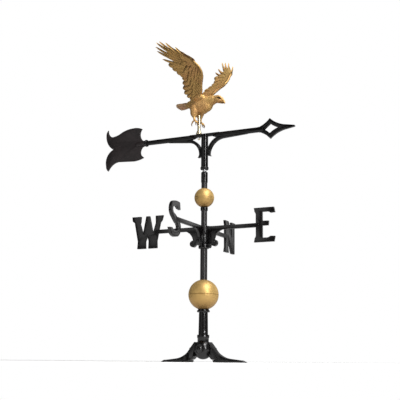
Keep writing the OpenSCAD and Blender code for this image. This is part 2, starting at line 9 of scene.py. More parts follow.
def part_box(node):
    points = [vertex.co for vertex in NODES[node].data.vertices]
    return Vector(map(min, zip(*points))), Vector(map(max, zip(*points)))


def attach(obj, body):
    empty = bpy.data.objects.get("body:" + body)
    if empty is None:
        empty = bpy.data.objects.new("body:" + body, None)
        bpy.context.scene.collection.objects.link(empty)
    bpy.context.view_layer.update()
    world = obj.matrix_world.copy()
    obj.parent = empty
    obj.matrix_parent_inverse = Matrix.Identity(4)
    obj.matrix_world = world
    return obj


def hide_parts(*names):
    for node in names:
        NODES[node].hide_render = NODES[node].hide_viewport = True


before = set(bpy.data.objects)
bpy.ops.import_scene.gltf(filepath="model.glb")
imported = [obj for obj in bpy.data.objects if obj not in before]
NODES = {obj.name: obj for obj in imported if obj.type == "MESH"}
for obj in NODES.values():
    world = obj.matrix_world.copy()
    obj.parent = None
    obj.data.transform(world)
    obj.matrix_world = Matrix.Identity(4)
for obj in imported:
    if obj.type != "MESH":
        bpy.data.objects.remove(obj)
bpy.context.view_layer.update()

MM = 0.001

# places on the part, in millimetres from its foot and its axis
COMPASS_Z = 420     # the middle of the two compass castings
SCROLL_X = 42       # the centre of each scroll, out from the pole
ROD_Z = 820.5       # the arrow's rod
POST_X = -24        # the eagle's post, behind the spindle
EAGLE_TURN = -12    # the eagle's heading off the arrow's, in degrees


# ---------------------------------------------------------------- materials

def socket(shader, name, value):
    """Sets a shader input that this Blender has."""
    if name in shader.inputs:
        shader.inputs[name].default_value = value


def material(name, base, roughness, metallic=0.0, specular=0.5):
    m = bpy.data.materials.new(name)
    m.use_nodes = True
    nt = m.node_tree
    shader = nt.nodes["Principled BSDF"]
    socket(shader, "Base Color", (*base, 1))
    socket(shader, "Roughness", roughness)
    socket(shader, "Metallic", metallic)
    socket(shader, "Specular IOR Level", specular)
    m.diffuse_color = (*base, 1)
    return m, nt, shader


def object_coordinates(nt):
    return nt.nodes.new("ShaderNodeTexCoord").outputs["Object"]


def noise(nt, where, scale, detail=3.0, rough=0.55):
    n = nt.nodes.new("ShaderNodeTexNoise")
    n.inputs["Scale"].default_value = scale
    n.inputs["Detail"].default_value = detail
    n.inputs["Roughness"].default_value = rough
    nt.links.new(where, n.inputs["Vector"])
    return n.outputs["Fac"]


def ramp(nt, factor, stops):
    """A colour ramp from stops of (place, colour)."""
    r = nt.nodes.new("ShaderNodeValToRGB")
    while len(r.color_ramp.elements) < len(stops):
        r.color_ramp.elements.new(0.5)
    for e, (place, colour) in zip(r.color_ramp.elements, stops):
        e.position = place
        e.color = (*colour, 1)
    nt.links.new(factor, r.inputs["Fac"])
    return r.outputs["Color"]


def grey(v):
    return (v, v, v)


def mixed(nt, mode, factor, a, b):
    """Colours a and b mixed. factor is a number or an output, and so is each colour."""
    n = nt.nodes.new("ShaderNodeMix")
    n.data_type = "RGBA"
    n.blend_type = mode
    for key, value in ((0, factor), (6, a), (7, b)):
        if isinstance(value, bpy.types.NodeSocket):
            nt.links.new(value, n.inputs[key])
        else:
            n.inputs[key].default_value = value if key == 0 else (*value, 1)
    return n.outputs[2]


def bump(nt, shader, layers):
    """Chains bump nodes from layers of (height output, distance in metres, strength)."""
    normal = None
    for height, distance, strength in layers:
        b = nt.nodes.new("ShaderNodeBump")
        b.inputs["Distance"].default_value = distance
        b.inputs["Strength"].default_value = strength
        nt.links.new(height, b.inputs["Height"])
        if normal is not None:
            nt.links.new(normal, b.inputs["Normal"])
        normal = b.outputs["Normal"]
    nt.links.new(normal, shader.inputs["Normal"])


def attribute(nt, name):
    a = nt.nodes.new("ShaderNodeAttribute")
    a.attribute_name = name
    return a.outputs["Fac"]


def black_coat(name, base, low, high, grain, specular=0.5):
    """Satin black powder coat with a roughness from low to high. grain is the depth of its pits in
    metres, large over a sand casting and small over a tube."""
    m, nt, s = material(name, base, 0.45, specular=specular)
    where = object_coordinates(nt)
    broad = noise(nt, where, scale=18, detail=4)
    fine = noise(nt, where, scale=900, detail=2)
    pits = noise(nt, where, scale=260, detail=5, rough=0.7)
    dull, worn = tuple(0.75 * c for c in base), tuple(1.5 * c for c in base)
    nt.links.new(ramp(nt, broad, [(0.35, dull), (0.68, worn)]), s.inputs["Base Color"])
    nt.links.new(ramp(nt, pits, [(0.3, grey(low)), (0.75, grey(high))]), s.inputs["Roughness"])
    bump(nt, s, [(pits, grain, 0.35), (fine, 0.00003, 0.05)])
    return m


CASTING_GRAIN, TUBE_GRAIN = 0.00015, 0.00002
CAST = black_coat("black_cast_iron_coat", (0.0034, 0.0028, 0.0030), 0.20, 0.29, CASTING_GRAIN)
TUBE = black_coat("black_tube_coat", (0.0026, 0.0021, 0.0023), 0.19, 0.24, TUBE_GRAIN, 0.45)
POLE = black_coat("black_pole_coat", (0.0100, 0.0080, 0.0085), 0.36, 0.44, TUBE_GRAIN, 0.6)
ARROW = black_coat("black_arrow_coat", (0.0022, 0.0018, 0.0020), 0.13, 0.20, 0.00020, 0.26)
PLATE = black_coat("black_plate_coat", (0.0130, 0.0088, 0.0090), 0.40, 0.54, CASTING_GRAIN)


def gold_paint(name, light, mid, roughness, dark=None):
    """Satin gold paint, cloudy from mid to light, with painted shade that makes the surfaces which
    face down darker and browner. With dark, it is antique gold for a mesh that carries a tone: dark
    where the tone is low, as in the grooves, by antique patina and painted shade, and rosy in
    patches."""
    m, nt, s = material(name, mid, roughness, metallic=0.6)
    where = object_coordinates(nt)
    cloud = noise(nt, where, scale=26, detail=4)
    speck = noise(nt, where, scale=420, detail=3)
    base = ramp(nt, cloud, [(0.30, mid), (0.72, light)])
    specks = ramp(nt, speck, [(0.35, grey(0.72)), (0.62, grey(1.0))])
    base = mixed(nt, "MULTIPLY", 0.12, base, specks)
    if dark:
        rosy = (mid[0] * 1.12, mid[1] * 0.84, mid[2] * 1.15)
        patches = ramp(nt, noise(nt, where, scale=17, detail=2),
                       [(0.48, grey(0.0)), (0.64, grey(0.36))])
        base = mixed(nt, "MIX", patches, base, rosy)
    # painted shade: the surfaces that face down are made darker and browner by the height of their
    # normal
    split = nt.nodes.new("ShaderNodeSeparateXYZ")
    nt.links.new(nt.nodes.new("ShaderNodeTexCoord").outputs["Normal"], split.inputs[0])
    half_up = nt.nodes.new("ShaderNodeMath")
    half_up.operation = "MULTIPLY_ADD"
    half_up.inputs[1].default_value, half_up.inputs[2].default_value = 0.5, 0.5
    nt.links.new(split.outputs["Z"], half_up.inputs[0])
    under = ramp(nt, half_up.outputs[0], [(0.05, (0.42, 0.36, 0.30)), (0.55, grey(1.0))])
    base = mixed(nt, "MULTIPLY", 1.0, base, under)
    # where the tone is low the colour goes to dark: antique patina and painted shade in the grooves
    if dark:
        raised = ramp(nt, attribute(nt, "tone"), [(0.05, grey(0.0)), (0.75, grey(1.0))])
        base = mixed(nt, "MIX", raised, dark, base)
    nt.links.new(base, s.inputs["Base Color"])
    dull = ramp(nt, cloud, [(0.3, grey(roughness - 0.06)), (0.75, grey(roughness + 0.10))])
    nt.links.new(dull, s.inputs["Roughness"])
    bump(nt, s, [(cloud, 0.0006, 0.25), (speck, 0.00005, 0.12)])
    return m


GLOBE = gold_paint("satin_gold_globe", (0.70, 0.46, 0.165), (0.62, 0.395, 0.13), 0.47)
# antique gold whose grooves carry antique patina and painted shade
EAGLE = gold_paint("antique_gold_eagle_with_painted_shade", (0.86, 0.56, 0.205), (0.72, 0.455, 0.150), 0.50,
                   dark=(0.11, 0.052, 0.013))
TAIL = gold_paint("antique_gold_tail_with_painted_shade", (0.86, 0.60, 0.34), (0.74, 0.50, 0.29), 0.50,
                  dark=(0.13, 0.07, 0.04))
# dark gold for the eyes, and for the grooves of the face that paint the shade of the brow and the
# gape
EYE_AND_SHADE_GROOVE_GOLD = gold_paint("dark_gold_eyes_and_painted_shade_grooves", (0.20, 0.13, 0.05), (0.12, 0.075, 0.028), 0.38,
                       dark=(0.03, 0.015, 0.006))


def metal(name, base, roughness, scratch):
    """Bare metal with faint turned rings. scratch is their depth in metres."""
    m, nt, s = material(name, base, roughness, metallic=1.0)
    where = object_coordinates(nt)
    cloud = noise(nt, where, scale=120, detail=4)
    stretched = nt.nodes.new("ShaderNodeMapping")
    stretched.inputs["Scale"].default_value = (1, 1, 5)
    nt.links.new(where, stretched.inputs["Vector"])
    rings = noise(nt, stretched.outputs["Vector"], scale=140, detail=2)
    dull = tuple(0.82 * c for c in base)
    nt.links.new(ramp(nt, cloud, [(0.3, dull), (0.7, base)]), s.inputs["Base Color"])
    rough = ramp(nt, rings, [(0.3, grey(roughness - 0.03)), (0.7, grey(roughness + 0.03))])
    nt.links.new(rough, s.inputs["Roughness"])
    bump(nt, s, [(rings, scratch, 0.2)])
    return m


STEEL = metal("bright_steel", (0.80, 0.80, 0.82), 0.28, 0.00002)
SCREW = metal("dark_steel", (0.30, 0.30, 0.31), 0.34, 0.00002)
BRASS = metal("pale_brass", (0.92, 0.80, 0.56), 0.34, 0.000008)


def moulded(name, base):
    """A moulded plastic with a fine grain."""
    m, nt, s = material(name, base, 0.5, specular=0.35)
    where = object_coordinates(nt)
    grain = noise(nt, where, scale=1400, detail=2)
    worn = ramp(nt, noise(nt, where, scale=60), [(0.3, base), (0.7, tuple(1.4 * c for c in base))])
    nt.links.new(worn, s.inputs["Base Color"])
    bump(nt, s, [(grain, 0.00004, 0.5)])
    return m


BUSHING = moulded("black_nylon", (0.006, 0.006, 0.0065))


# ---------------------------------------------------------------- mesh helpers

def link(name, mesh, mat, body, slot, nodes=()):
    """A finished piece: it rides on its body, and stands for the CAD nodes it replaces."""
    o = bpy.data.objects.new(name, mesh)
    bpy.context.scene.collection.objects.link(o)
    mesh.materials.clear()
    mesh.materials.append(mat)
    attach(o, body)
    if nodes:
        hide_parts(*nodes)
    return o


def smooth(mesh, angle):
    """Smooth shading with creases where faces meet at more than angle degrees."""
    mesh.shade_smooth()
    mesh.set_sharp_from_angle(angle=math.radians(angle))


def paint(node, mat):
    """A CAD node that stays as it is and gets a better material."""
    o = NODES[node]
    o.data.materials.clear()
    o.data.materials.append(mat)


def clean(mesh, merge=None, flat=None):
    """Turns the faces outward. Before that, vertices closer than merge in metres are joined, and
    edges between faces that meet at less than flat degrees are dissolved."""
    bm = bmesh.new()
    bm.from_mesh(mesh)
    if merge:
        bmesh.ops.remove_doubles(bm, verts=bm.verts, dist=merge)
    if flat:
        bmesh.ops.dissolve_limit(bm, angle_limit=math.radians(flat), verts=bm.verts,
                                 edges=bm.edges)
    bmesh.ops.recalc_face_normals(bm, faces=bm.faces)
    bm.to_mesh(mesh)
    bm.free()


def lathe(name, profile, segments=96):
    """A ring turned about the pole's axis from a closed profile of corners (radius, height) in
    millimetres."""
    verts, faces = [], []
    n = len(profile)
    for k in range(segments):
        a = 2 * math.pi * k / segments
        for r, z in profile:
            verts.append((r * MM * math.cos(a), r * MM * math.sin(a), z * MM))
    for k in range(segments):
        for i in range(n):
            j = (i + 1) % n
            k1 = (k + 1) % segments
            faces.append((k * n + i, k * n + j, k1 * n + j, k1 * n + i))
    mesh = bpy.data.meshes.new(name)
    mesh.from_pydata(verts, [], faces)
    clean(mesh, merge=1e-6)
    return mesh


def rounded(corners, radius, steps=3):
    """A closed profile with each corner rounded by up to radius."""
    out = []
    n = len(corners)
    for i in range(n):
        p, c, q = (Vector(corners[(i + d) % n]) for d in (-1, 0, 1))
        a, b = p - c, q - c
        cut = min(radius, a.length * 0.45, b.length * 0.45)
        p0, p1 = c + a.normalized() * cut, c + b.normalized() * cut
        for s in range(steps + 1):
            t = s / steps
            out.append(tuple((1 - t) ** 2 * p0 + 2 * t * (1 - t) * c + t ** 2 * p1))
    return out


def turned(name, node, bore, steps, mat, body, slot, radius):
    """A ring that stands for a CAD ring or sleeve and fills its height. bore is the radius of its
    hole, steps its outer corners as (radius, share of the height) from foot to top, and radius
    rounds its edges. Lengths are in millimetres."""
    low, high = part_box(node)
    foot, top = low[2] / MM, high[2] / MM
    corners = [(bore, foot)] + [(r, foot + (top - foot) * share) for r, share in steps]
    mesh = lathe(name, rounded(corners + [(bore, top)], radius))
    smooth(mesh, 30)
    link(name, mesh, mat, body, slot, [node])


def casting(node, name, mat, body, slot, width):
    """A copy of a CAD casting in a new object, with rounded edges in place of knife-sharp ones.
    width is the rounding's in millimetres."""
    mesh = NODES[node].data.copy()
    mesh.name = name
    clean(mesh, merge=2e-6, flat=0.6)
    o = link(name, mesh, mat, body, slot, [node])
    bevel = o.modifiers.new("edges", "BEVEL")
    bevel.width = width * MM
    bevel.segments = 3
    bevel.limit_method = "ANGLE"
    bevel.angle_limit = math.radians(32)
    bevel.miter_outer = "MITER_ARC"
    bevel.use_clamp_overlap = True
    settle(o)
    smooth(o.data, 40)


def settle(o):
    """Applies the modifiers of a piece."""
    bpy.context.view_layer.update()
    evaluated = o.evaluated_get(bpy.context.evaluated_depsgraph_get())
    made = bpy.data.meshes.new_from_object(evaluated)
    made.materials.clear()
    for m in o.data.materials:
        made.materials.append(m)
    o.modifiers.clear()
    o.data = made


class Clay:
    """Vertices, faces and a tone per vertex, gathered into one mesh. Lengths are in millimetres."""

    def __init__(self):
        self.verts, self.faces, self.tones = [], [], []

    def add(self, verts, faces, tones):
        start = len(self.verts)
        self.verts += [tuple(v) for v in verts]
        self.faces += [tuple(start + i for i in f) for f in faces]
        self.tones += list(tones)

    def tube(self, points, radii, sides=12, tone=1.0, flatten=None):
        """A tube through points with a radius at each, its ends a little domed. tone is a number or
        a function of the share of the length. flatten, (direction, factor), squeezes it."""
        pts = [Vector(p) for p in points]
        rings = []
        up = Vector((0.03, 0.11, 1)).normalized()
        for i, p in enumerate(pts):
            d = (pts[min(i + 1, len(pts) - 1)] - pts[max(i - 1, 0)]).normalized()
            side = d.cross(up)
            side = side.normalized() if side.length > 1e-4 else Vector((1, 0, 0))
            up = side.cross(d).normalized()
            rings.append((p, side.copy(), up.copy(), radii[i]))
        verts, tones = [], []
        tone_of = tone if callable(tone) else (lambda t: tone)
        for i, (p, side, upw, r) in enumerate(rings):
            for k in range(sides):
                a = 2 * math.pi * k / sides
                off = side * (r * math.cos(a)) + upw * (r * math.sin(a))
                if flatten:
                    d, keep = Vector(flatten[0]).normalized(), flatten[1]
                    off -= d * (off.dot(d) * (1 - keep))
                verts.append(p + off)
                tones.append(tone_of(i / (len(rings) - 1)))
        faces = []
        for i in range(len(rings) - 1):
            for k in range(sides):
                k1 = (k + 1) % sides
                ring, after = i * sides, (i + 1) * sides
                faces.append((ring + k, ring + k1, after + k1, after + k))
        last = len(rings) - 1
        for end, i, inner in ((0, 0, 1), (1, last, last - 1)):
            verts.append(pts[i] + (pts[i] - pts[inner]).normalized() * radii[i] * 0.5)
            tones.append(tone_of(float(end)))
            centre, ring = len(verts) - 1, i * sides
            for k in range(sides):
                a, b = ring + k, ring + (k + 1) % sides
                faces.append((centre, b, a) if end == 0 else (centre, a, b))
        self.add(verts, faces, tones)

    def ball(self, centre, radii, rows=20, tone=0.8):
        """An ellipsoid."""
        verts, faces = [], []
        columns = 2 * rows
        for i in range(rows + 1):
            a = math.pi * i / rows
            for k in range(columns):
                b = 2 * math.pi * k / columns
                verts.append((centre[0] + radii[0] * math.cos(a),
                              centre[1] + radii[1] * math.sin(a) * math.cos(b),
                              centre[2] + radii[2] * math.sin(a) * math.sin(b)))
        for i in range(rows):
            for k in range(columns):
                k1 = (k + 1) % columns
                row, after = i * columns, (i + 1) * columns
                faces.append((row + k, row + k1, after + k1, after + k))
        self.add(verts, faces, [tone] * len(verts))

    def blade(self, place, root, tip, width, thick, *, bend, roll, steps, pointed, tones, narrow,
              crease, lift=0.0, lay=0.0, notch=0.0, shaft=1.2):
        """One feather, seen from both faces. place turns (x, height, off) into a point: root and
        tip are pairs (x, height). width is half the feather's, and the root has the share narrow of
        it. bend is how far its middle stands to one side, lift and lay how far root and tip are off
        the sheet, and roll how far one edge is lifted over the next feather. pointed is the share
        of its length that closes to the tip, and tones are the tones at root and tip; the darker
        root is painted shade where other feathers cover it. The outer part is narrower by notch,
        and the lower edge darker by crease, as antique patina and painted shade, with a line of
        painted shade along the lifted edge; its rib stands shaft above it and is a little lighter,
        a painted highlight."""
        root, tip = np.array(root, float), np.array(tip, float)
        line = tip - root
        along = line / np.hypot(*line)
        across = np.array([-along[1], along[0]])
        columns = (-1.0, -0.62, -0.13, 0.0, 0.13, 0.62, 1.0)
        verts, tones_out = [], []
        n = len(columns)
        for face in (1, -1):
            for i in range(steps + 1):
                t = i / steps
                w = width * (narrow + (1 - narrow) * min(1.0, t * 2.6))
                w *= 1 - notch * float(np.interp(t, (0.52, 0.72), (0, 1)))
                close = max(0.0, (t - (1 - pointed)) / pointed)
                w *= math.sqrt(max(0.0, 1 - close ** 2.4)) if i < steps else 0.08
                for c in columns:
                    flat = root + line * t + across * (bend * math.sin(math.pi * t) + c * w)
                    body = thick * (0.2 + 0.8 * (1 - abs(c) ** 1.5)) / 2
                    body += shaft if c == 0 else 0.0
                    off = lift + (lay - lift) * t + roll * c * w / width + face * body
                    verts.append(place(flat[0], flat[1], off))
                    raised = c * face * (1 if roll >= 0 else -1)
                    # antique patina and painted shade towards the lower edge, a line of painted
                    # shade on the lifted edge and a painted highlight on the rib
                    shade = (1 - crease * max(0.0, 0.35 - raised) ** 0.8
                             - 0.15 * (raised > 0.9) + 0.12 * (c == 0))
                    # darker towards the root, a painted shade where the next feathers cover it
                    rise = tones[0] + (tones[1] - tones[0]) * min(1.0, t * 1.7)
                    tones_out.append(rise * shade)
        faces = []
        half = n * (steps + 1)
        for i in range(steps):
            for k in range(n - 1):
                a, b = i * n + k, i * n + k + 1
                c, d = (i + 1) * n + k + 1, (i + 1) * n + k
                faces.append((a, b, c, d))
                faces.append((half + d, half + c, half + b, half + a))
            for k in (0, n - 1):
                a, d = i * n + k, (i + 1) * n + k
                quad = (a, d, half + d, half + a)
                faces.append(quad if k == 0 else quad[::-1])
        for i, flip in ((0, False), (steps, True)):
            for k in range(n - 1):
                a, b = i * n + k, i * n + k + 1
                quad = (b, a, half + a, half + b)
                faces.append(quad[::-1] if flip else quad)
        self.add(verts, faces, tones_out)

    def mesh(self, name, transform=None):
        """The mesh in metres, with the tones as its attribute "tone"."""
        verts = np.array(self.verts, float) * MM
        if transform is not None:
            m = np.array(transform)
            verts = verts @ m[:3, :3].T + m[:3, 3]
        mesh = bpy.data.meshes.new(name)
        mesh.from_pydata(verts.tolist(), [], self.faces)
        tone = mesh.attributes.new("tone", "FLOAT", "POINT")
        tone.data.foreach_set("value", np.clip(np.array(self.tones, np.float32), 0, 1))
        clean(mesh)
        return mesh


# ---------------------------------------------------------------- the castings and tubes

# CAD node, piece, material, body, slot, width of the rounded edges
CASTINGS = (
    ("socket_casting", "socket_knuckle", CAST, "mast", "black_casting", 1.6),
    ("west_foot", "west_foot_casting", CAST, "west_foot", "black_casting", 1.8),
    ("east_foot", "east_foot_casting", CAST, "east_foot", "black_casting", 1.8),
    ("pivot_bolt", "pivot_bolt_head", CAST, "mast", "black_casting", 0.8),
    ("pivot_washers", "pivot_washer_pair", STEEL, "mast", "steel", 0.4),
    ("pivot_nut", "pivot_hex_nut", STEEL, "mast", "steel", 0.6),
    ("base_tube", "base_tube_coated", CAST, "mast", "black_casting", 0.8),
    ("base_set_screws", "base_screw_pair", SCREW, "mast", "steel", 0.4),
    ("hub_collar_screw", "hub_thumb_screw", TUBE, "mast", "black_tube", 1.0),
    ("ew_arms", "ew_compass_casting", CAST, "compass", "black_casting", 1.3),
    ("ns_arms", "ns_compass_casting", CAST, "compass", "black_casting", 1.3),
    ("arm_set_screws", "arm_screw_pair", SCREW, "compass", "steel", 0.3),
    ("arrow", "arrow_casting", ARROW, "vane", "black_casting", 1.3),
    ("tail_fin", "tail_fin_casting", PLATE, "vane", "black_casting", 1.4),
    ("tail_collar", "tail_ring", CAST, "vane", "black_casting", 2.0),
    ("tail_set_screw", "tail_screw", SCREW, "vane", "steel", 0.3),
    ("post_nut", "post_hex_nut", STEEL, "vane", "steel", 0.5),
)
for row in CASTINGS:
    casting(*row)
for node, mat in (("lower_pole", POLE), ("upper_tube", POLE), ("spindle", STEEL),
                  ("vane_tube", TUBE), ("upper_bushing", BUSHING), ("thrust_plug", STEEL),
                  ("eagle_post", BRASS), ("wing_screws", GLOBE)):
    paint(node, mat)

# piece, CAD node, radius of the hole, outer corners, material, body, slot, rounding
RINGS = (
    ("globe_collar_ring", "globe_collar", 12.75,
     [(22.4, 0), (22.8, 0.3), (22.8, 0.55), (19.6, 0.62), (19.4, 0.97), (17.5, 1)],
     CAST, "mast", "black_casting", 1.0),
    ("hub_collar_ring", "hub_collar", 12.75, [(18.2, 0), (19.6, 0.15), (19.6, 0.85), (18.2, 1)],
     CAST, "mast", "black_casting", 1.2),
    ("ferrule_ring", "small_globe_ferrule", 10.95,
     [(12.4, 0), (13.4, 0.12), (13.4, 0.8), (12.2, 1)], CAST, "mast", "black_casting", 1.0),
    ("bearing_cap_sleeve", "bearing_cap", 5.05, [(11.6, 0), (12.2, 0.03), (12.2, 0.9), (8.2, 1)],
     TUBE, "mast", "black_tube", 0.8),
    ("lower_bushing_ring", "lower_bushing", 5.1,
     [(13.2, 0), (15.1, 0.09), (15.1, 0.30), (10.4, 0.325), (10.4, 1)],
     BUSHING, "vane", "bushing", 0.7),
    ("post_flange_collar", "post_flange", 6.05,
     [(10.4, 0), (10.9, 0.08), (10.9, 0.44), (9.2, 0.5), (7.6, 1)],
     BRASS, "vane", "pale_brass", 0.8),
)
for row in RINGS:
    turned(*row)
# the last ring is turned about the pole's axis too, and belongs on the eagle's post
bpy.data.objects["post_flange_collar"].data.transform(Matrix.Translation((POST_X * MM, 0, 0)))


SHELL = 1.9             # thickness of a globe's shell


def globe(node, name, bore, upper, seam_gap):
    """Half a globe: a spun shell with an edge turned in at the seam, and a hole for the pole."""
    low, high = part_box(node)
    seam = (low[2] if upper else high[2]) / MM
    r = (high[0] - low[0]) / 2 / MM
    inside = r - SHELL
    way = 1 if upper else -1
    first, last = seam_gap / r, math.acos((bore + 1.0) / r)
    outer, inner = [], []
    steps = 40
    for i in range(steps + 1):
        a = first + (last - first) * i / steps
        # the outer skin stays just inside the CAD shell
        outer.append((r * math.cos(a) - 0.02, seam + way * r * math.sin(a)))
        inner.append((inside * math.cos(a), seam + way * inside * math.sin(a)))
    roll = [(inside, seam + way * 0.05), (r - 1.7, seam + way * 0.05),
            (r - 1.2, seam + way * seam_gap)]
    mesh = lathe(name, roll + outer + inner[::-1][1:])
    smooth(mesh, 50)
    link(name, mesh, GLOBE, "mast", "gold_globe", [node])


LOWER_POLE, UPPER_TUBE = 12.7, 10.9     # radii
globe("large_globe_lower", "large_globe_lower_shell", LOWER_POLE, False, 0.8)
globe("large_globe_upper", "large_globe_upper_shell", LOWER_POLE, True, 0.8)
globe("small_globe_lower", "small_globe_lower_shell", UPPER_TUBE, False, 0.35)
globe("small_globe_upper", "small_globe_upper_shell", UPPER_TUBE, True, 0.35)


def scroll_ridges(name, turn):
    """The raised spiral on both faces of the two scrolls of one compass casting."""
    clay = Clay()
    steps = 42
    for side in (1, -1):
        for face in (1, -1):
            points, radii = [], []
            for i in range(steps + 1):
                t = i / steps
                a = math.radians(90 + 620 * t)
                r = 10.6 - 7.6 * t
                points.append((side * (SCROLL_X - r * math.cos(a)), face * 6.6,
                               COMPASS_Z + r * math.sin(a)))
                radii.append(1.25 - 0.35 * t)
            clay.tube(points, radii, 8)
            clay.ball((side * SCROLL_X, face * 6.4, COMPASS_Z), (2.6, 1.5, 2.6), 8)
    mesh = clay.mesh(name, Matrix.Rotation(math.radians(turn), 4, "Z"))
    smooth(mesh, 60)
    link(name, mesh, CAST, "compass", "black_casting")


scroll_ridges("ew_scroll_ridges", 0)
scroll_ridges("ns_scroll_ridges", 90)


CASTING_DEPTH = 11      # the arrow's, from face to face


def moulding(name, paths, radius, proud):
    """Half-round ridges on both faces of the arrow's casting, along paths in its plane. They stand
    proud of it by that much."""
    clay = Clay()
    for path in paths:
        for face in (1, -1):
            y = face * (CASTING_DEPTH / 2 - radius + proud)
            taper = [0.75] + [1.0] * (len(path) - 2) + [0.45]
            clay.tube([(x, y, z) for x, z in path], [radius * t for t in taper])
    mesh = clay.mesh(name)
    smooth(mesh, 60)
    link(name, mesh, ARROW, "vane", "black_casting")


moulding("head_ridges",
         [[(222, ROD_Z + 2), (240, ROD_Z + 13), (257, ROD_Z + 26.5), (280, ROD_Z + 14),
           (304, ROD_Z + 4), (322, ROD_Z - 1), (346, ROD_Z - 1)],
          [(222, ROD_Z - 2), (240, ROD_Z - 14), (257, ROD_Z - 27.5), (280, ROD_Z - 15),
           (304, ROD_Z - 6), (322, ROD_Z - 1), (346, ROD_Z - 1)]], 4.2, 1.3)


def arc(cx, cz, r, side):
    """The line of a bracket: a quarter circle from the rod down to the vane's tube."""
    angles = [math.radians(a) for a in range(92, 184, 6)]
    return [(side * (cx + r * math.cos(a)), cz + r * math.sin(a)) for a in angles]


moulding("bracket_ridges", [arc(81, 747.5, 65, 1), arc(70.5, 752.5, 55.8, -1)], 4.4, 1.2)


def rod_shoulders():
    """Where the round rod comes out of the flat web in the middle of the arrow."""
    clay = Clay()
    for side in (1, -1):
        points = [(side * x, 0, ROD_Z) for x in (34, 42, 50, 58)]
        clay.tube(points, [4.4, 7.4, 9.2, 9.62], 32)
    mesh = clay.mesh("rod_shoulders")
    smooth(mesh, 50)
    link("rod_shoulders", mesh, ARROW, "vane", "black_casting")


rod_shoulders()


# ---------------------------------------------------------------- the eagle
# In the eagle's own frame, in millimetres: x is the way it faces, y its left, z the height.

EAGLE_PLACE = (Matrix.Translation((POST_X * MM, 0, 0))
               @ Matrix.Rotation(math.radians(EAGLE_TURN), 4, "Z"))
# how far out to the side the wings are at each height
WING_UP = (930, 955, 988, 1018, 1048, 1084, 1114, 1140, 1175)
WING_OUT = (12, 18, 32, 50, 70, 94, 116, 134, 155)


def wing_sheet(side):
    """place(x, height, off) for a raised wing, off being towards its underside."""
    def place(x, up, off):
        below, out, above = (float(np.interp(up + d, WING_UP, WING_OUT)) for d in (-14, 0, 14))
        slope = (above - below) / 28
        n = math.hypot(1, slope)
        return (x, side * (out + off / n), up - off * slope / n)
    return place


def along(points, share):
    """The point at a share of a polyline's length."""
    p = np.array(points, float)
    steps = np.hypot(*(p[1:] - p[:-1]).T)
    run = np.concatenate([[0], np.cumsum(steps)]) / steps.sum()
    return np.array([np.interp(share, run, p[:, 0]), np.interp(share, run, p[:, 1])])


# The rows of coverts. Each has its start and end behind the wing's front edge, the most of the
# chord that it covers, half a feather's width, its lift and lay off the sheet, the number of its
# feathers, how many flight feathers it leaves free at the tip, and by how much of a feather it is
# shifted.
COVERTS = (
    (24, 62, 0.74, 9.5, 2.6, 1.9, 13, 2.4, 0.3),
    (12, 40, 0.52, 8.8, 3.9, 3.0, 13, 2.4, 0.3),
    (6, 24, 0.32, 6.6, 4.9, 4.3, 16, 1.4, 0.0),
)


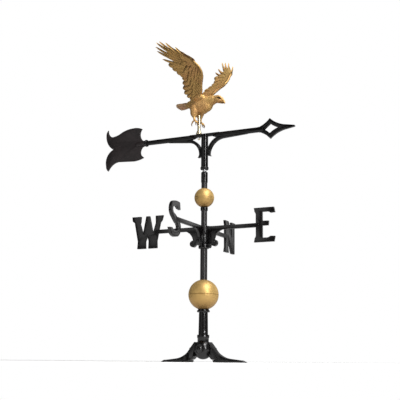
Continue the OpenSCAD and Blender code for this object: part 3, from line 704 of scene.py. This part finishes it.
def wing(name, node, side, lead, tips, first_primary, primary_width, wrist, hand, groove):
    """A wing of flight feathers with rows of coverts over their roots on both faces. lead is its
    front edge and tips the ends of the flight feathers, both as (x, height) from the shoulder out.
    The primaries spring from a short length of the front edge, hand, which begins at the wrist,
    and primary_width is half the width of one. groove is how dark the antique patina and the
    painted shade are between the feathers."""
    place = wing_sheet(side)
    clay = Clay()
    count = len(tips)
    ends = np.array(tips, float)
    knots = (0, first_primary - 1, count - 1)
    shoulder = 0.16     # share of the front edge from which the first feather springs
    fronts = np.array([along(lead, share) for share in
                       np.interp(range(count), knots, (shoulder, wrist, wrist + hand))])

    def at(q, row):
        """The point at feather number q, which may lie between two feathers."""
        return np.array([np.interp(q, range(count), row[:, 0]),
                         np.interp(q, range(count), row[:, 1])])

    for i in range(count):
        a, b = fronts[i], ends[i]
        reach = np.hypot(*(b - a))
        root = a + (b - a) * 0.08
        shape = dict(roll=1.5, steps=28, tones=(0.10, 1.0), narrow=0.55, crease=groove)
        if i >= first_primary:
            clay.blade(place, root, b, primary_width, 3.8, bend=reach * 0.06, pointed=0.30,
                       notch=0.45, **shape)
        else:
            clay.blade(place, root, b, 8.8, 2.8, bend=reach * 0.03, pointed=0.20, **shape)

    # a thin core, so that nothing shows through between the feathers; its low tone paints shade in
    # the gaps
    rows, columns = 24, 5
    verts, faces = [], []
    for face in (0.7, -0.7):
        for i in range(rows + 1):
            q = (count - 2) * i / rows
            a, b = at(q, fronts), at(q, ends)
            reach = 0.70 if q < first_primary else 0.48
            for k in range(columns):
                m = a + (b - a) * (0.03 + (reach - 0.03) * k / (columns - 1))
                verts.append(place(m[0], m[1], face))
    half = columns * (rows + 1)
    for i in range(rows):
        row, after = i * columns, (i + 1) * columns
        for k in range(columns - 1):
            a, b, c, d = row + k, row + k + 1, after + k + 1, after + k
            faces += [(a, b, c, d), (half + d, half + c, half + b, half + a)]
        for k in (0, columns - 1):
            faces.append((row + k, after + k, half + after + k, half + row + k))
    for i in (0, rows):
        for k in range(columns - 1):
            a, b = i * columns + k, i * columns + k + 1
            faces.append((a, b, half + b, half + a))
    clay.add(verts, faces, [0.15] * len(verts))

    for face in (1, -1):
        for start, stop, most, width, lift, lay, number, free, shift in COVERTS:
            for k in range(number):
                q = (count - 1 - free) * (k + shift) / (number - 0.5)
                a = along(lead, float(np.interp(q, knots, (0, wrist, wrist + hand))))
                b = at(q, ends)
                reach = np.hypot(*(b - a))
                go = (b - a) / reach
                droop = float(np.interp(q, (0, first_primary - 1, first_primary + 2),
                                        (0.9, 1.6, 0.0)))
                down = np.array([-go[1], go[0]]) * droop
                near, far = min(start, most * reach * 0.5), min(stop, most * reach)
                clay.blade(place, a + go * near, a + go * far + down * (far - near), width, 1.3,
                           bend=0.8, lift=face * lift, lay=face * lay, roll=face * 0.9, steps=12,
                           pointed=0.4, tones=(0.45, 1.0), narrow=0.7, crease=groove, shaft=0.2)

    # the rounded front edge
    steps = 30
    edge = [along(lead, (wrist + hand) * t / steps) for t in range(steps + 1)]
    clay.tube([place(p[0] - 4.5, p[1], 0) for p in edge],
              [5.6 - 2.0 * t / steps for t in range(steps + 1)], tone=0.5)
    mesh = clay.mesh(name, EAGLE_PLACE)
    smooth(mesh, 50)
    link(name, mesh, EAGLE, "vane", "eagle_gold", [node])


# groove darkens the grooves with antique patina and painted shade, far more on the right wing than
# on the left
wing("right_wing_feathers", "right_wing", -1,
     [(27, 974), (37, 987), (45, 1007), (53, 1019), (63, 1034), (65, 1046), (61, 1061), (53, 1072),
      (45, 1080), (32, 1086), (20, 1094), (11, 1106), (2, 1118)],
     [(-27, 966), (-37, 976), (-46, 990), (-45, 1006), (-39, 1022), (-33, 1037), (-37, 1049),
      (-48, 1059), (-61, 1074), (-72, 1089), (-87, 1110), (-98, 1138), (-98, 1152), (-89, 1164),
      (-75, 1165), (-50, 1156), (-14, 1134)],
     first_primary=10, primary_width=7.2, wrist=0.60, hand=0.10, groove=0.85)
wing("left_wing_feathers", "left_wing", 1,
     [(32, 984), (44, 990), (58, 1007), (72, 1020), (83, 1027), (88, 1040), (88, 1062), (86, 1080),
      (82, 1091)],
     [(-18, 1004), (-13, 1018), (-1, 1027), (10, 1040), (13, 1056), (12, 1067), (4, 1077),
      (-6, 1106), (-2, 1124), (1, 1156), (18, 1151), (38, 1144), (73, 1114)],
     first_primary=7, primary_width=6.0, wrist=0.72, hand=0.16, groove=0.25)


BODY_FEATHERS, THIGH_FEATHERS = 18, 11      # in one row, all round


def plumage(co):
    """Height, from 0 to about 1, of the overlapping feathers at points in the eagle's frame. They
    lie in rows across the body and across the thighs under it."""
    x, y, z = co.T
    axis = np.interp(x, (-60, -30, 0, 30, 60, 90, 110), (953, 952, 941, 940, 950, 951, 945))
    body_row = np.interp(x, (-60, 40, 80, 105), (21.0, 10.0, 5.0, 0.0))
    body_turn = np.arctan2(y, z - axis) / (2 * math.pi) * BODY_FEATHERS
    thigh = np.clip((922 - z) / 10, 0, 1) * np.clip((np.abs(y) - 6) / 6, 0, 1) * (x < 40)
    thigh_row = (945 - z) / 7.5
    thigh_turn = np.arctan2(np.abs(y) - 17, x + 9) / (2 * math.pi) * THIGH_FEATHERS
    height = np.zeros(len(co))
    for row, turn, weight in ((body_row, body_turn, 1 - thigh), (thigh_row, thigh_turn, thigh)):
        top = np.zeros(len(co))
        for back in (0, 1):
            k = np.floor(row) - back
            u = (row - k) / 1.75
            d = turn + 0.5 * (k % 2)
            d = (d - np.round(d)) / 0.58
            rim = np.sqrt(np.clip(1 - np.clip((u - 0.5) / 0.5, 0, 1) ** 2, 0, 1))
            h = 0.2 + 0.8 * u - 0.35 * d ** 2 + 0.16 * np.exp(-(d / 0.13) ** 2)
            top = np.maximum(top, np.where((np.abs(d) < rim) & (u <= 1), h, 0))
        height += top * weight
    return height


def eagle_body():
    """Body, head, tail root, thighs, shoulders and brow in one skin, with feathers raised on it."""
    clay = Clay()
    for centre, radii in (((6, 0, 938), (46, 29, 33)), ((28, 0, 939), (31, 26, 28)),
                          ((-30, 0, 953), (31, 17, 16)), ((81, 0, 952), (23, 13.5, 15)),
                          ((92, 0, 945), (13, 10.5, 10.5))):
        clay.ball(centre, radii)
    clay.tube([(38, 0, 947), (56, 0, 951), (74, 0, 953)], [24, 19, 15.5], 32)
    clay.tube([(-38, 0, 954), (-52, 0, 954), (-64, 0, 953)], [14, 9, 5], 24)
    for side in (-1, 1):
        clay.tube([(-6, side * 14, 934), (-9, side * 17, 917), (-11, side * 18, 905),
                   (-9, side * 18, 895)], [19, 16.5, 12.5, 7], 24)
        clay.tube([(32, side * 16, 963), (16, side * 20, 968), (-6, side * 19, 964),
                   (-24, side * 14, 960)], [10, 12, 11, 8], 20)
        clay.tube([(92, side * 8.5, 958.5), (100, side * 8.4, 955), (107, side * 5.6, 949.5)],
                  [3.2, 3.2, 2.2])
    body = bpy.data.objects.new("eagle_body_plumage", clay.mesh("eagle_body_plumage"))
    bpy.context.scene.collection.objects.link(body)
    remesh = body.modifiers.new("remesh", "REMESH")
    remesh.mode = "VOXEL"
    remesh.voxel_size = 1.25 * MM
    soften = body.modifiers.new("soften", "SMOOTH")
    soften.factor, soften.iterations = 0.5, 12
    settle(body)
    mesh = body.data
    n = len(mesh.vertices)
    co, no = np.zeros(3 * n), np.zeros(3 * n)
    mesh.vertices.foreach_get("co", co)
    mesh.vertex_normals.foreach_get("vector", no)
    co, no = co.reshape(-1, 3) / MM, no.reshape(-1, 3)
    x, y, z = co[:, 0], co[:, 1], co[:, 2]
    height = plumage(co)
    swell = np.interp(x, (-64, -30, 30, 60, 84, 96, 102), (0.8, 1.3, 1.3, 1.1, 0.8, 0.4, 0.0))
    eye_socket = np.exp(-((x - 98.5) ** 2 + (z - 950.6) ** 2) / 14) * (np.abs(y) > 5)
    # the tone follows the feathers, darker between them as antique patina and painted shade,
    # evens out on the face and is dark in the eye sockets, a painted shade
    tone = np.clip(0.30 + 0.75 * height, 0, 1)
    moved = co + no * ((height - 0.5) * swell - 1.6 * eye_socket)[:, None]
    tone = tone + (0.72 - tone) * np.clip((moved[:, 0] - 96) / 8, 0, 1)
    tone *= 1 - 0.85 * np.clip(eye_socket * 1.4, 0, 1)
    mesh.vertices.foreach_set("co", (moved * MM).ravel())
    if "tone" not in mesh.attributes:
        mesh.attributes.new("tone", "FLOAT", "POINT")
    mesh.attributes["tone"].data.foreach_set("value", tone.astype(np.float32))
    mesh.transform(EAGLE_PLACE)
    smooth(mesh, 75)
    mesh.materials.clear()
    mesh.materials.append(EAGLE)
    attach(body, "vane")
    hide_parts("eagle_body")


eagle_body()


def eagle_face():
    """The two halves of the beak with the lips between them, the eyes, and dark grooves that
    paint shade below the brow and in the gape.
    """
    beak = Clay()
    beak.tube([(97, 0, 948.5), (104, 0, 945.6), (110, 0, 941.2), (115, 0, 935.5), (118, 0, 929.8),
               (117.4, 0, 926.4)], [8.6, 7.4, 5.8, 4.1, 2.2, 0.7], 20,
              tone=lambda t: 0.95 - 0.25 * t, flatten=((0, 1, 0), 0.72))
    # the lower half of the beak has a lower tone, a painted shade on its lower face
    beak.tube([(94, 0, 940), (102, 0, 935.6), (108.5, 0, 932), (113, 0, 929.4)],
              [6.4, 4.6, 3.1, 1.0], 16, tone=0.55, flatten=((0, 1, 0), 0.8))
    for side in (-1, 1):
        beak.tube([(94, side * 7.6, 942), (102, side * 6.4, 939.6), (109, side * 4.2, 936)],
                  [1.6, 1.5, 0.8], 8, tone=0.9)
    mesh = beak.mesh("eagle_beak", EAGLE_PLACE)
    smooth(mesh, 60)
    link("eagle_beak", mesh, EAGLE, "vane", "eagle_gold")
    eyes = Clay()
    for side in (-1, 1):
        eyes.ball((98.5, side * 9.2, 950.4), (2.4, 1.9, 2.1), 10, tone=0.1)
        # a dark groove below the brow, and one between the two halves of the beak, both painted
        # shade
        eyes.tube([(86, side * 13.2, 953), (93, side * 11.7, 952.4), (100, side * 8.2, 949.4),
                   (106, side * 5.4, 946)], [0.7, 1.4, 1.5, 0.8], 8, tone=0.1)
        eyes.tube([(103, side * 4.9, 937.4), (109, side * 3.8, 934.2), (113.5, side * 2.0, 931)],
                  [0.8, 1.1, 0.8], 8, tone=0.1)
    mesh = eyes.mesh("eagle_eyes_and_painted_shade_grooves", EAGLE_PLACE)
    smooth(mesh, 60)
    link("eagle_eyes_and_painted_shade_grooves", mesh, EYE_AND_SHADE_GROOVE_GOLD, "vane", "eagle_gold")


eagle_face()


# The rows of tail feathers. Each has its reach behind the body, the number of its feathers, half a
# feather's width, its height over the fan's sheet, the tones at root and tip, and how much further
# back its left side reaches than its right.
TAIL_ROWS = (
    (62, 9, 4.8, 0.0, (0.5, 1.0), 3),
    (33, 7, 4.4, 2.4, (0.35, 1.0), 0),
    # the row beneath the fan is darker at its tips, a painted shade
    (28, 7, 4.2, -2.2, (0.3, 0.8), 0),
)


def eagle_tail():
    """A fan of overlapping feathers, the middle one on top."""
    clay = Clay()

    def place(x, y, off):
        """A point of the fan's sheet, which is rolled to one side."""
        return (x + 0.25 * off, y + 0.24 * off, 953 - 0.25 * y + off)

    for reach, number, width, height, tones, skew in TAIL_ROWS:
        for i in range(number):
            turn = 2 * i / (number - 1) - 1
            root = (-40, 8 * turn)
            tip = (-44 - reach * (1 - 0.12 * turn ** 2) - skew * turn, (8 + 0.17 * reach) * turn)
            clay.blade(place, root, tip, width, 2.0, bend=-2.0 * turn,
                       lift=height - 1.2 * abs(turn), lay=height * 0.4 - 1.0 * abs(turn),
                       roll=-0.9 * (1 if turn > 0 else -1), steps=10, pointed=0.18, tones=tones,
                       narrow=0.55, crease=0.35, shaft=0.5)
    mesh = clay.mesh("eagle_tail_fan", EAGLE_PLACE)
    smooth(mesh, 50)
    link("eagle_tail_fan", mesh, TAIL, "vane", "eagle_gold", ["eagle_tail"])


eagle_tail()


def talon(name, node, side):
    """A feathered shank, four knuckled toes and their curled claws."""
    clay = Clay()
    ankle = Vector((-6, side * 20, 880))
    clay.tube([(-9, side * 18, 900), (-8.4, side * 18.6, 893), (-7, side * 19.4, 886),
               tuple(ankle)], [6.4, 5.4, 4.2, 3.6], 14, tone=0.8)
    for i in range(5):
        z = 896 - 3.2 * i
        clay.tube([(-12 + 0.9 * i, side * 18.4, z),
                   (-8.5 + 0.4 * i, side * (22.6 + 0.1 * i), z - 1),
                   (-4.5 + 0.1 * i, side * 18.9, z)], [0.9, 1.1, 0.9], 6)
    for toe in (-30, 0, 30, 180):
        c, n = math.cos(math.radians(toe)), math.sin(math.radians(toe))

        def point(out, down):
            return (ankle.x + out * c, ankle.y + out * n, ankle.z - down)

        clay.tube([point(0, 0), point(4, 0.5), point(7.5, 3), point(10.5, 6.5), point(11.5, 9)],
                  [3.4, 2.8, 3.1, 2.5, 2.2], 10, tone=0.75)
        clay.tube([point(11.2, 8.5), point(13, 11.5), point(13.6, 15), point(12.4, 18.4),
                   point(10.2, 20.4)], [2.3, 2.1, 1.7, 1.1, 0.4], 10,
                  tone=lambda t: 0.35 - 0.35 * t)
    mesh = clay.mesh(name, EAGLE_PLACE)
    smooth(mesh, 60)
    link(name, mesh, EAGLE, "vane", "eagle_gold", [node])


talon("right_talon_claws", "right_talon", -1)
talon("left_talon_claws", "left_talon", 1)


# ---------------------------------------------------------------- camera, light, stage

def area_light(name, azimuth, elevation, distance, size, power, aim_z):
    """A softbox that points at a height on the part's axis. Azimuth is measured from south towards
    east, as for the camera."""
    a, e = math.radians(azimuth), math.radians(elevation)
    away = Vector((math.sin(a) * math.cos(e), -math.cos(a) * math.cos(e), math.sin(e)))
    data = bpy.data.lights.new(name, "AREA")
    data.shape = "RECTANGLE"
    data.size, data.size_y = size
    data.energy = power
    o = bpy.data.objects.new(name, data)
    o.location = Vector((0, 0, aim_z)) + away * distance
    o.rotation_euler = away.to_track_quat("Z", "Y").to_euler()
    bpy.context.scene.collection.objects.link(o)


# name, azimuth, elevation, distance, width and height, watts, height it points at
LIGHTS = (
    ("key_strip", 54.5, 17, 2.7, (0.22, 1.9), 44, 0.66),
    ("key_softbox", 62, 52, 2.6, (1.0, 1.0), 46, 0.62),
    ("fill_softbox", -26, 13, 2.8, (1.5, 1.7), 7, 0.62),
    ("rim_softbox", 150, 16, 2.6, (0.8, 1.6), 4, 0.62),
    ("top_softbox", 115, 66, 2.4, (1.4, 1.4), 20, 0.62),
)


def room():
    """White behind the part. What lights it is a pale wall behind it and a dim room in front."""
    world = bpy.data.worlds.new("studio")
    bpy.context.scene.world = world
    world.use_nodes = True
    nt = world.node_tree
    white = nt.nodes["Background"]
    white.inputs["Color"].default_value = (1, 1, 1, 1)
    white.inputs["Strength"].default_value = 1.0
    toward = nt.nodes.new("ShaderNodeVectorMath")
    toward.operation = "DOT_PRODUCT"
    toward.inputs[1].default_value = (-0.22, 0.45, 0.0)
    directions = nt.nodes.new("ShaderNodeTexCoord").outputs["Generated"]
    nt.links.new(directions, toward.inputs[0])
    share = nt.nodes.new("ShaderNodeMath")
    share.operation = "ADD"
    share.inputs[1].default_value = 0.5
    nt.links.new(toward.outputs["Value"], share.inputs[0])
    level = ramp(nt, share.outputs["Value"], [(0.0, grey(0.03)), (0.45, grey(0.04)),
                                              (0.80, grey(0.20)), (1.0, grey(0.30))])
    dim = nt.nodes.new("ShaderNodeBackground")
    nt.links.new(level, dim.inputs["Color"])
    path = nt.nodes.new("ShaderNodeLightPath")
    mix = nt.nodes.new("ShaderNodeMixShader")
    nt.links.new(path.outputs["Is Camera Ray"], mix.inputs["Fac"])
    nt.links.new(dim.outputs["Background"], mix.inputs[1])
    nt.links.new(white.outputs["Background"], mix.inputs[2])
    nt.links.new(mix.outputs["Shader"], nt.nodes["World Output"].inputs["Surface"])


def pale_floor():
    radius, sides = 1.9, 120
    angles = [math.radians(360 / sides * k) for k in range(sides)]
    mesh = bpy.data.meshes.new("floor")
    mesh.from_pydata([(radius * math.cos(a), radius * math.sin(a), 0.0) for a in angles], [],
                     [tuple(range(sides))])
    floor = bpy.data.objects.new("floor", mesh)
    bpy.context.scene.collection.objects.link(floor)
    m, nt, s = material("pale_floor", (0.92, 0.92, 0.92), 0.9, specular=0.1)
    socket(s, "Emission Color", (1, 1, 1, 1))
    socket(s, "Emission Strength", 0.25)
    cloud = ramp(nt, noise(nt, object_coordinates(nt), 3), [(0.3, grey(0.91)), (0.7, grey(0.93))])
    nt.links.new(cloud, s.inputs["Base Color"])
    mesh.materials.append(m)


def camera():
    """A camera near the ground, south-east of the part, that looks up at it."""
    heading, pitch, roll = (math.radians(a) for a in (25.5, 11.30, 0.51))
    data = bpy.data.cameras.new("camera")
    data.sensor_width = 36
    data.lens = 72
    data.clip_start, data.clip_end = 0.05, 60
    cam = bpy.data.objects.new("camera", data)
    bpy.context.scene.collection.objects.link(cam)
    cam.location = (1.2168, -2.5872, 0.0085)
    turn = (Matrix.Rotation(heading, 4, "Z") @ Matrix.Rotation(math.radians(90) + pitch, 4, "X")
            @ Matrix.Rotation(roll, 4, "Z"))
    cam.rotation_euler = turn.to_euler()
    bpy.context.scene.camera = cam


room()
for row in LIGHTS:
    area_light(*row)
bpy.context.scene.view_settings.view_transform = "Standard"
bpy.context.scene.view_settings.look = "None"
pale_floor()
camera()
